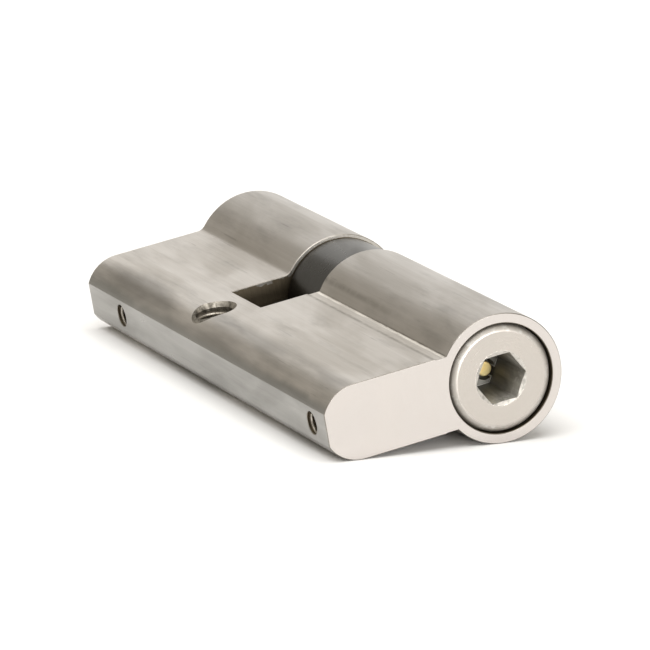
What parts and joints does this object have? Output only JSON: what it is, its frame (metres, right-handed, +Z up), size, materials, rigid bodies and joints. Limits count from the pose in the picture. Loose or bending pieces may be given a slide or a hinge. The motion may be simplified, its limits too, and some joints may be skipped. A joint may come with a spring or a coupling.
{
  "type": "lock cylinder",
  "caption": "Double euro-profile lock cylinder for a mortice deadbolt, turned from either end by a hexagon key with a push nose.",
  "frame": {"origin": "on the plug axis, in the middle of the cam slot", "axes": "+X along the plug axis towards the front face, +Y the way the barrel bulges with the leg reaching -Y, +Z up with the cylinder lying on its side"},
  "size_m": [0.08, 0.033, 0.017],
  "materials": {
    "nickel_satin": "satin nickel plate on brass, brushed lengthwise",
    "nickel_polished": "turned nickel plate on brass",
    "cam_steel": "dark sintered steel",
    "coupler_steel": "hardened steel, ground",
    "disc_steel": "dark hardened steel",
    "spring_steel": "spring steel",
    "bright_steel": "bright zinc-plated steel",
    "rod_brass": "bright turned brass"
  },
  "bodies": {
    "housing": {"housing": "nickel_satin", "drag_pin_front": "coupler_steel", "drag_pin_back": "coupler_steel", "drag_spring_front": "spring_steel", "drag_spring_back": "spring_steel", "grub_screw_front": "bright_steel", "grub_screw_back": "bright_steel"},
    "plug_front": {"plug_front": "nickel_polished", "socket_disc_front": "disc_steel", "circlip_front": "spring_steel", "return_spring_front": "spring_steel"},
    "plug_back": {"plug_back": "nickel_polished", "socket_disc_back": "disc_steel", "circlip_back": "spring_steel", "return_spring_back": "spring_steel"},
    "cam": {"cam": "cam_steel"},
    "clutch_front": {"push_rod_front": "rod_brass", "coupler_front": "coupler_steel", "coupler_ball": "bright_steel"},
    "clutch_back": {"push_rod_back": "rod_brass", "coupler_back": "coupler_steel"}
  },
  "joints": [
    {"name": "front_turn", "type": "hinge", "parent": "housing", "child": "plug_front", "pos_m": [0, 0, 0], "axis": [1, 0, 0], "continuous": true},
    {"name": "cam_turn", "type": "hinge", "parent": "housing", "child": "cam", "pos_m": [0, 0, 0], "axis": [1, 0, 0], "continuous": true},
    {"name": "back_turn", "type": "hinge", "parent": "housing", "child": "plug_back", "pos_m": [0, 0, 0], "axis": [1, 0, 0], "continuous": true},
    {"name": "clutch_front_slide", "type": "slide", "parent": "plug_front", "child": "clutch_front", "axis": [-1, 0, 0], "range_m": [-0.0019, 0.0019], "stiffness_N_per_m": 300, "deforming": ["return_spring_front"]},
    {"name": "clutch_back_slide", "type": "slide", "parent": "plug_back", "child": "clutch_back", "axis": [-1, 0, 0], "range_m": [-0.0019, 0.0019], "stiffness_N_per_m": 300, "deforming": ["return_spring_back"]}
  ],
  "couplings": [
    {"joint": "cam_turn", "follows": "front_turn", "ratio": 1},
    {"joint": "back_turn", "follows": "front_turn", "ratio": 1},
    {"joint": "clutch_back_slide", "follows": "clutch_front_slide", "ratio": 1}
  ]
}
